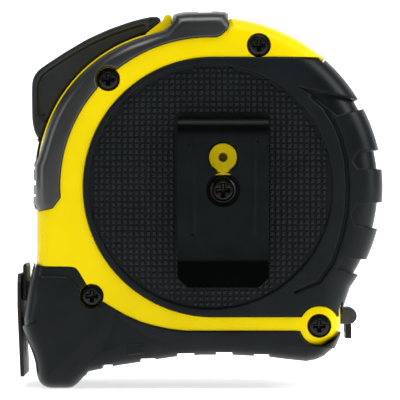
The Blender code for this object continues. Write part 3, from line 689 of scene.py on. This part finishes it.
def rubber_blank(name, side, surface, region, reach=SHOULDER_REACH):
    """Rubber over the shell, filling one region of the case."""
    obj = pillow(name, case_outline(), shoulder(RUBBER_DEPTH, reach), surface, side)
    cut(obj, prism("shell_space", grown(shell_outline(), GAP), INSIDE, WALL_OUT + GAP, surface, side))
    return keep(obj, prism("region", region, INSIDE, OUTSIDE, surface, side))


def cut_ends(obj, side):
    """Room in the rubber for the shell's round eye and for the wrist strap's anchor."""
    cut(obj, prism("round_eye", circle(RING, RING_R + GAP), INSIDE, OUTSIDE, RUBBER, side))
    cut(obj, prism("strap_space", STRAP_SPACE, INSIDE, 7.3, RUBBER, side))


def sink(obj, region, side, depth, outline, reach=SHOULDER_REACH):
    """Takes a region down by an even depth, over the shoulder as well as on the flat."""
    tool = prism("skin_region", region, INSIDE, 24, RUBBER, side)
    levels = shoulder(RUBBER_DEPTH - depth, reach, base=-2)
    cut(obj, cut(tool, pillow("skin_core", grown(outline, -depth), levels, RUBBER, side)))


# Low ground between the raised blocks of the rear grip, and along their inner ends.
REAR_REACH = 5.5
REAR_ARC = arc(PANEL, CASE_R, -70, 80, 90) + [(-12.0, 30.0), (-12.0, -30.0)]
REAR_VALLEYS = (
    [(16.3, 22.7), (29.5, 20.2), (40.0, 19.5), (40.0, 17.4), (31.2, 18.0), (25.1, 16.3), (22.6, 18.2), (19.8, 20.8)],
    [(29.9, 8.6), (40.0, 9.2), (40.0, 4.6), (29.6, 4.6), (28.4, 6.4)],
    [(29.4, -3.1), (40.0, -2.4), (40.0, -9.2), (28.9, -8.0), (28.2, -5.4)],
    [(26.5, -15.0), (40.0, -16.0), (40.0, -19.6), (29.7, -18.8), (24.9, -17.6)],
)
REAR_CHANNEL = ([(19.6, 20.9), (22.6, 18.4), (24.9, 15.0), (26.5, 11.0), (27.6, 6.5), (28.0, 1.0), (27.7, -5.0),
                 (26.4, -11.0), (24.6, -16.0), (21.4, -20.6), (15.6, -22.9)]
                + [(15.6, -22.3), (20.8, -20.0), (23.8, -15.6), (25.5, -10.8), (26.7, -5.0), (27.0, 1.0), (26.6, 6.4),
                   (25.6, 10.7), (24.1, 14.5), (21.9, 17.8), (19.0, 20.4)])


def build_rear_grip(side):
    obj = rubber_blank("rear_rubber_" + SIDE_NAMES[side], side, RUBBER, grip_region(), REAR_REACH)
    cut_ends(obj, side)
    cut(obj, prism("panel", circle(STUD_CENTRE, STUD_REACH + 0.7, 120), FLOOR, OUTSIDE, RUBBER, side))
    for valley in REAR_VALLEYS:
        sink(obj, valley, side, 1.1, REAR_ARC, REAR_REACH)
    sink(obj, REAR_CHANNEL, side, 0.8, REAR_ARC, REAR_REACH)
    if side == BACK:
        cut(obj, prism("clip_boss_space", grown(KEYHOLE, 0.25), 10, OUTSIDE, RUBBER, side))
        cut(obj, prism("clip_screw_hole", circle(CLIP_SCREW, SHANK_HOLE_R, 24), 10, OUTSIDE, RUBBER, side))
    return polish(obj)


# Notches in the underside: x, z, width, height above z, and how much wider they get below.
TEETH = ((8.6, -37.3, 3.4, 1.0, 0.4), (0.3, -37.0, 3.6, 1.15, 0.4), (-8.2, -37.2, 3.7, 1.1, 0.4),
         (-16.6, -38.4, 3.3, 1.15, 0.4), (-25.5, -39.6, 2.2, 1.0, 0.4))
NOSE_RIM = [(-47.0, -14.0), (-28.0, -14.0), (-28.0, -24.0), (-29.9, -24.3), (-31.4, -22.4), (-34.5, -19.2),
            (-40.2, -19.0), (-40.9, -19.8), (-40.9, -29.0), (-47.0, -31.0)]
HEEL_GROUND = [(-24.0, -27.0), (-24.8, -29.9), (-26.2, -33.6), (-27.4, -35.9), (-29.2, -37.6), (-30.6, -42.0),
               (30.0, -42.0), (30.0, -35.2), (16.0, -34.6), (-6.0, -34.2), (-16.0, -32.2)]
HEEL_STEP = [(-21.2, -34.1), (-17.6, -33.8), (-17.2, -36.0), (-20.9, -36.4)]


def build_nose_bumper(side):
    obj = rubber_blank("nose_rubber_" + SIDE_NAMES[side], side, RUBBER, bumper_region())
    cut_ends(obj, side)
    cut(obj, prism("hook_space", rectangle((-50, -50), (-43.0, -10)), INSIDE, 13.0, RUBBER, side))
    cut(obj, prism("mouth_space", rectangle((-50, -34.5), (-40.5, -10)), INSIDE, 13.0, RUBBER, side))
    sink(obj, NOSE_RIM, side, 0.45, case_outline())
    sink(obj, HEEL_GROUND, side, 0.4, case_outline())
    add(obj, pillow("heel_step", HEEL_STEP, ((15.0, 0), (19.5, 0), (19.95, -0.25)), RUBBER, side))
    for x, z, width, height, lean in TEETH:
        half = width / 2
        gap = [(x - half - lean, z - 4), (x + half + lean, z - 4), (x + half, z + height), (x - half, z + height)]
        cut(obj, prism("tooth_gap", gap, INSIDE, OUTSIDE, RUBBER, side))
    cut(obj, prism("head_hole", circle(SCREWS[2], HEAD_R + 0.4, 36), 10, OUTSIDE, RUBBER, side))
    return polish(obj)


def build_top_grip(side):
    obj = rubber_blank("top_rubber_" + SIDE_NAMES[side], side, GREY_RUBBER, top_grip_region())
    cut(obj, prism("lip_space", grown(LIP, GAP), INSIDE, 15.3, GREY_RUBBER, side))
    saddle = [(-5.5, 39.3), (-2.6, 39.3), (-1.8, 41), (-6.3, 41)]
    cut(obj, prism("saddle", saddle, INSIDE, OUTSIDE, GREY_RUBBER, side))
    sweep = arc(SEAT, SEAT_R - 0.6, 104, 187, 48) + arc(SEAT, SEAT_R + 12, 187, 104, 48)
    cut(obj, prism("lever_space", sweep, INSIDE, 13.0, GREY_RUBBER, side))
    for z, half in ((1.6, 0.45), (4.9, 0.2), (-1.2, 0.2), (7.3, 0.35)):
        rib_gap = [(-44.0, z - half - 0.5), (-41.35, z - half), (-41.35, z + half), (-44.0, z + half + 0.5)]
        cut(obj, prism("rib_gap", rib_gap, INSIDE, OUTSIDE, GREY_RUBBER, side))
    cut(obj, prism("head_hole", circle(SCREWS[0], HEAD_R + 0.4, 36), 10, OUTSIDE, GREY_RUBBER, side))
    return polish(obj)


# ---------------------------------------------------------------- panel studs and label

# Half width and depth at each level of a stud.
STUD_LEVELS = ((0.47, FLOOR - 0.05), (0.47, FLOOR + 0.12), (0.34, FLOOR + 0.36))


def build_studs(side, inner):
    """The round panel's grid of small raised squares, left out within inner of its middle and under the clip."""
    bm = bmesh.new()
    count = int(STUD_REACH / STUD_PITCH) + 1
    for column in range(-count, count + 1):
        for row in range(-count, count + 1):
            x = PANEL[0] + column * STUD_PITCH
            z = PANEL[1] + row * STUD_PITCH
            reach = ((x - STUD_CENTRE[0]) ** 2 + (z - STUD_CENTRE[1]) ** 2) ** 0.5
            on_clip_foot = side == BACK and abs(x) < 10.5 and -12.6 < z < 16.5
            if reach > STUD_REACH or reach < inner or on_clip_foot:
                continue
            rings = []
            for half, depth in STUD_LEVELS:
                square = rectangle((x - half, z - half), (x + half, z + half))
                rings.append([(a, side * depth, b) for a, b in square])
            skin(bm, rings)
    return link_mesh("panel_studs_" + SIDE_NAMES[side], bm, LIT_STUD_RUBBER)


def build_label():
    """Blank disc with a fine groove near its rim."""
    levels = ((FLOOR + 0.3, 0), (19.95, 0), (20.15, -0.2), (20.2, -0.5), (20.2, -1.6), (20.05, -1.75), (20.05, -2.6),
              (20.2, -2.75), (20.2, -23.0))
    return polish(pillow("label_disc", circle(PANEL, 24.0, 120), levels, BLACK_PLASTIC))


# ---------------------------------------------------------------- screws

THREAD_PITCH = 0.8
HEAD_HEIGHT = 1.75
CROSS_HALF = 0.42


def build_screw(name, centre, seat, radius, shank_r, end, cross):
    """Pan head with a cross recess, a plain neck, and a threaded shank that reaches y = end."""
    stations = [(end, shank_r * 0.5), (end - THREAD_PITCH, shank_r * 0.8)]
    for step in range(int((end + seat - 2.0) / THREAD_PITCH)):
        y = end - (step + 1) * THREAD_PITCH
        stations += [(y - 0.2, shank_r), (y - 0.6, shank_r * 0.78)]
    stations += [(-seat + 1.0, shank_r * 0.85), (-seat, shank_r * 0.85), (-seat, radius)]
    for step in range(9):
        turn = 0.5 * pi * step / 8
        stations.append((-seat - HEAD_HEIGHT * (0.45 + 0.55 * sin(turn)), radius * (0.62 + 0.38 * cos(turn))))
    stations.append((-seat - HEAD_HEIGHT, radius * 0.3))
    bm = bmesh.new()
    skin(bm, [[(x, y, z) for x, z in circle(centre, r, 40)] for y, r in stations])
    obj = link_mesh(name, bm, BLACK_STEEL)
    top = seat + HEAD_HEIGHT
    levels = ((top - 1.1, -0.2), (top + 0.5, 0.1))
    for wide, tall in ((cross, CROSS_HALF), (CROSS_HALF, cross)):
        bar = rectangle((centre[0] - wide, centre[1] - tall), (centre[0] + wide, centre[1] + tall))
        cut(obj, pillow("cross", bar, levels, BLACK_STEEL, BACK))
    return polish(obj, 0.08, angle=40, weld=0.01)


# ---------------------------------------------------------------- lever, hook, clip


def build_lever():
    """Thumb lever on its curved seat, with the tail over the case's slot and the arm down to the lock."""
    outer = filleted([(-40.9, 11.2), (-41.9, 12.9), (-42.4, 15.5), (-42.5, 22.2), (-42.35, 24.6), (-41.3, 26.5),
                      (-39.2, 28.0), (-35.4, 30.5), (-30.2, 33.6), (-25.1, 35.9), (-19.9, 37.7), (-16.0, 38.6),
                      (-14.5, 38.6), (-13.6, 37.9)], 1.6, 5, 3)[6:-6]
    outer = [(-40.9, 11.2)] + outer + [(-13.6, 37.9)]
    outline = outer + arc(SEAT, SEAT_R + 0.35, 106, 166, 40)
    recess = [(-41.1, 16.6), (-41.2, 22.2), (-41.0, 23.9), (-40.3, 25.4), (-38.5, 26.8), (-34.7, 29.3),
              (-29.6, 32.3), (-24.7, 34.5), (-19.8, 36.2), (-17.6, 36.8), (-17.0, 36.2)]
    recess = filleted(recess + arc(SEAT, SEAT_R - 0.6, 106, 160, 30), 0.6, 3, 12)
    obj = prism("thumb_lever", outline, -12.4, 12.4, LEVER)
    for side in (BACK, FRONT):
        cut(obj, prism("side_recess", recess, 11.0, 14.4, LEVER, side))
    skirt = arc(SEAT, SEAT_R + 0.35, 160, 178, 12) + arc(SEAT, SEAT_R + 0.95, 178, 160, 12)
    add(obj, prism("skirt", skirt, -6.5, 6.5, LEVER))
    root = arc(SEAT, SEAT_R + 1.2, 159, 165, 4)
    outside = [arc(SEAT, SEAT_R - 2.3, 167, 168, 1)[0], (-38.4, 2.0), (-38.4, -14.0), (-38.3, -20.5), (-37.0, -23.6)]
    inside = [(-34.2, -23.6), (-36.0, -19.5), (-36.2, -12.0), (-36.0, 2.0), (-35.2, 9.5),
              arc(SEAT, SEAT_R - 2.3, 159, 160, 1)[0]]
    add(obj, prism("arm", root + outside + inside, -4, 4, LEVER))
    return polish(obj, 0.5, 3)


HOOK_HALF = 12.3
# A tool between these x cuts right through the hook's plate.
HOOK_TOOL = (-50, -40)


def build_hook():
    """Hook plate with clipped corners and a nail slot, and the tongue that is riveted to the blade."""
    side_view = [(-45.7, -18.6), (-44.9, -18.6), (-44.9, -26.0), (-44.2, -41.5), (-45.0, -41.5), (-45.7, -26.0)]
    obj = prism("hook_plate", side_view, -HOOK_HALF, HOOK_HALF, HOOK_STEEL)
    top_cut = [(-HOOK_HALF - 1, -21.5), (-9.0, -17.5), (-HOOK_HALF - 1, -17.5)]
    low_cut = [(-HOOK_HALF - 1, -40.0), (-HOOK_HALF + 1.6, -42.6), (-HOOK_HALF - 1, -42.6)]
    for turn in (-1, 1):
        for corner in (top_cut, low_cut):
            cut(obj, across("corner", [(turn * y, z) for y, z in corner], *HOOK_TOOL, HOOK_STEEL))
    slot = filleted(rectangle((-1.2, -37.5), (1.2, -34.0)), 1.1, 6)
    cut(obj, across("nail_slot", slot, *HOOK_TOOL, HOOK_STEEL))
    tongue = block("tongue", (-45.2, -6.0, -29.4), (-38.5, 6.0, -28.7), HOOK_STEEL)
    for y in (-3.6, 0.0, 3.6):
        cut(tongue, block("slot", (-43.1, y - 1.25, -40), (-39.3, y + 1.25, -20), HOOK_STEEL))
    return polish(add(obj, tongue), 0.16, weld=0.01)


def build_hook_back():
    outline = filleted([(-44.6, -24.8), (-43.8, -24.8), (-43.8, -17.0), (-44.1, -16.3), (-44.6, -16.8)], 0.2, 3)
    return polish(prism("hook_backing", outline, -9.0, 9.0, HOOK_STEEL), 0.12, weld=0.01)


CLIP_HALF = 10.0
CLIP_T = 0.8
CLIP_BASE = 19.5
FOLD_R = 2.9
FOLD = (-22.8, 12.7)
# Tools between these depths cut only the base leg, or only the outer one.
BASE_LEG = (10, 22)
OUTER_LEG = (23, 40)


def build_clip():
    """One bent strip: the base leg on the case, the fold over the top, and the outer leg with its flared lip."""
    outside = arc(FOLD, FOLD_R + CLIP_T / 2, 0, 180, 28)
    inside = arc(FOLD, FOLD_R - CLIP_T / 2, 180, 0, 28)
    outer = FOLD[0] - FOLD_R - CLIP_T / 2
    steps = [FOLD[1] - 2.3 * i for i in range(1, 12)]
    lip_out = [(outer - 0.03, -13.4), (outer - 0.12, -14.6), (outer - 0.4, -15.8), (outer - 0.8, -17.0),
               (outer - 1.3, -18.6), (outer - 2.2, -21.3)]
    leg_out = [(outer, z) for z in steps] + lip_out
    lip_in = [(outer - 2.2 + CLIP_T, -21.3), (outer - 1.25 + CLIP_T, -18.6), (outer - 0.72 + CLIP_T, -17.0),
              (outer - 0.3 + CLIP_T, -15.8), (outer - 0.05 + CLIP_T, -14.6), (outer + CLIP_T, -13.4)]
    leg_in = [(outer + CLIP_T, z) for z in reversed(steps)]
    base_out = [(-CLIP_BASE, z) for z in (-12.0, -6.0, 0.0, 6.0)]
    base_in = [(-CLIP_BASE - CLIP_T, z) for z in (6.0, 0.0, -6.0, -12.0)]
    outline = outside + leg_out + lip_in + leg_in + inside + base_in + base_out
    obj = across("spring_clip", outline, -CLIP_HALF, CLIP_HALF, CLIP_STEEL)
    cut(obj, prism("keyhole", grown(KEYHOLE, 0.3), *BASE_LEG, CLIP_STEEL, BACK))
    cut(obj, prism("screw_hole", circle(CLIP_SCREW, SHANK_HOLE_R, 32), *BASE_LEG, CLIP_STEEL, BACK))
    cut(obj, prism("boss_window", circle(BOSS, 3.45, 64), *OUTER_LEG, CLIP_STEEL, BACK))
    cut(obj, prism("screw_window", circle(CLIP_SCREW, 3.75, 64), *OUTER_LEG, CLIP_STEEL, BACK))
    for turn in (-1, 1):
        corner = [(turn * 12, -22.3), (turn * 12, -17.3), (turn * 6.6, -22.3)]
        cut(obj, prism("corner", corner, *OUTER_LEG, CLIP_STEEL, BACK))
    surface = -outer
    for x in (-6.4, 6.9):
        rib = filleted(rectangle((x - 0.55, -9.8), (x + 0.55, 11.6)), 0.5, 5)
        levels = ((surface - 0.3, 0), (surface + 0.02, 0), (surface + 0.16, -0.3))
        add(obj, pillow("rib", rib, levels, CLIP_STEEL, BACK))
    for place in ((-7.6, 9.9), (7.4, 10.6), (-6.8, -9.7)):
        levels = ((surface - 0.22, -0.35), (surface + 0.3, 0.1))
        cut(obj, pillow("dimple", circle(place, 0.55, 20), levels, CLIP_STEEL, BACK))
    return polish(obj)


# ---------------------------------------------------------------- ruler numbers

NUMBER_SIZE = 5.4
NUMBER_HALF_THICKNESS = 0.02


def build_numbers(number, zero, values):
    """The section's centimetre numbers, thin solids laid on its hollow upper face, each just before its mark."""
    edge_height = (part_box(f"blade_section_{number}")[1].z - AXIS.z) / MM
    bm = bmesh.new()
    for value in values:
        text = bpy.data.curves.new("figure", "FONT")
        text.body = str(value)
        text.size = NUMBER_SIZE
        text.align_x = "RIGHT"
        text.align_y = "CENTER"
        text.extrude = NUMBER_HALF_THICKNESS
        helper = bpy.data.objects.new("figure", text)
        figure = bpy.data.meshes.new_from_object(helper)
        for vert in figure.vertices:
            x, y, rise = vert.co.x + zero + 10 * value - 0.4, vert.co.y, vert.co.z + 0.004
            surface = edge_height - BLADE_RISE + BLADE_RISE * (y / BLADE_HALF) ** 2
            vert.co = AXIS + Vector((x, y, surface + rise)) * MM
        bm.from_mesh(figure)
        bpy.data.meshes.remove(figure)
        bpy.data.objects.remove(helper)
        bpy.data.curves.remove(text)
    return link_mesh(f"ruler_numbers_{number}", bm, INK)


# ---------------------------------------------------------------- stage, light and camera


def area(name, place, target, size, power):
    light = bpy.data.lights.new(name, "AREA")
    light.shape = "RECTANGLE"
    light.size, light.size_y = size
    light.energy = power
    obj = bpy.data.objects.new(name, light)
    bpy.context.scene.collection.objects.link(obj)
    obj.location = place
    obj.rotation_euler = (Vector(target) - Vector(place)).to_track_quat("-Z", "Y").to_euler()


def build_stage():
    """Floor and backdrop in one white sweep, bent up far behind. It glows less near the object."""
    bend = 0.6
    back = 2.0
    profile = [(-3.0, 0.0)] + [(back + y, bend + z) for y, z in arc((0, 0), bend, -90, 0, 16)] + [(back + bend, 2.5)]
    bm = bmesh.new()
    rows = [[bm.verts.new((x, y, z)) for y, z in profile] for x in (-3.0, 3.0)]
    for i in range(len(profile) - 1):
        bm.faces.new((rows[0][i], rows[1][i], rows[1][i + 1], rows[0][i + 1]))
    n = Nodes("studio_paper")
    n.set(Roughness=0.9, Specular_IOR_Level=0.0)
    n.shader.inputs["Emission Color"].default_value = (1, 1, 1, 1)
    n.link(n.span(n.place("Y"), 0.7, 1.0, 0.05, 0.45), n.shader.inputs["Emission Strength"])
    paper = n.finish(n.ramp(n.noise(8.0), (0.82, 0.82, 0.82), (0.86, 0.86, 0.86)))
    floor = link_mesh("studio_floor", bm, paper)
    floor.data.shade_smooth()


def build_light():
    world = bpy.data.worlds.new("studio")
    world.use_nodes = True
    background = world.node_tree.nodes["Background"]
    background.inputs["Color"].default_value = (0.9, 0.95, 1.0, 1)
    background.inputs["Strength"].default_value = 0.10
    bpy.context.scene.world = world
    area("left", (-0.9, -0.28, 0.28), (0, 0, 0.04), (0.5, 0.6), 2.3)
    area("right", (0.9, -0.24, 0.32), (0, 0, 0.04), (0.5, 0.6), 3.2)
    area("upper_right", (0.72, -0.24, 0.66), (0, 0, 0.05), (0.45, 0.45), 4.4)
    area("top", (0.0, -0.2, 0.95), (0, 0, 0.05), (0.9, 0.5), 7.4)
    bpy.context.scene.view_settings.view_transform = "Standard"


def build_camera():
    """Level, square to the clip's side, 725 mm in front of the case's face, where it takes in 88 mm."""
    distance = 725.0
    width = 88.0
    data = bpy.data.cameras.new("view")
    data.sensor_width = 36.0
    data.lens = data.sensor_width * distance / width
    camera = bpy.data.objects.new("view", data)
    bpy.context.scene.collection.objects.link(camera)
    camera.location = AXIS + Vector((-5.06, -RUBBER_DEPTH - distance, -2.2)) * MM
    camera.rotation_euler = (0.5 * pi, 0, 0)
    bpy.context.scene.camera = camera


# ---------------------------------------------------------------- everything in its place


def build_pieces():
    for side in (BACK, FRONT):
        name = SIDE_NAMES[side]
        settle(build_shell(side), "case", "case_yellow", "case_shell_" + name)
        settle(build_rear_grip(side), "case", "black_rubber", "rear_grip_" + name)
        settle(build_nose_bumper(side), "case", "black_rubber", "nose_bumper_" + name)
        settle(build_top_grip(side), "case", "grey_rubber", "top_grip_" + name)
        settle(build_ear(side), "case", "black_plastic")
        settle(build_studs(side, 0 if side == BACK else 24.6), "case", "black_rubber")
    settle(build_label(), "case", "black_plastic", "front_label_disc")
    for number, centre in enumerate(SCREWS, start=1):
        piece = build_screw(f"cover_screw_{number}", centre, seat=HEAD_SEAT, radius=HEAD_R, shank_r=1.4, end=9.0,
                            cross=1.35)
        settle(piece, "case", "black_steel", f"case_screw_{number}")
    piece = build_screw("clip_fixing", CLIP_SCREW, seat=20.6, radius=2.95, shank_r=1.3, end=-6.0, cross=1.6)
    settle(piece, "case", "black_steel", "clip_screw")
    settle(build_lever(), "lock", "lever_plastic", "lock_lever")
    settle(build_hook(), "hook", "hook_steel", "end_hook")
    settle(build_hook_back(), "hook", "hook_steel", "hook_back_plate")
    for number, body, zero, values in BLADE_PRINT:
        settle(build_numbers(number, zero, values), body, "blade")
    clip = build_clip()
    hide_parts("belt_clip_base", "belt_clip_tongue")
    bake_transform(clip)


dress_cad()
build_pieces()
build_stage()
build_light()
build_camera()
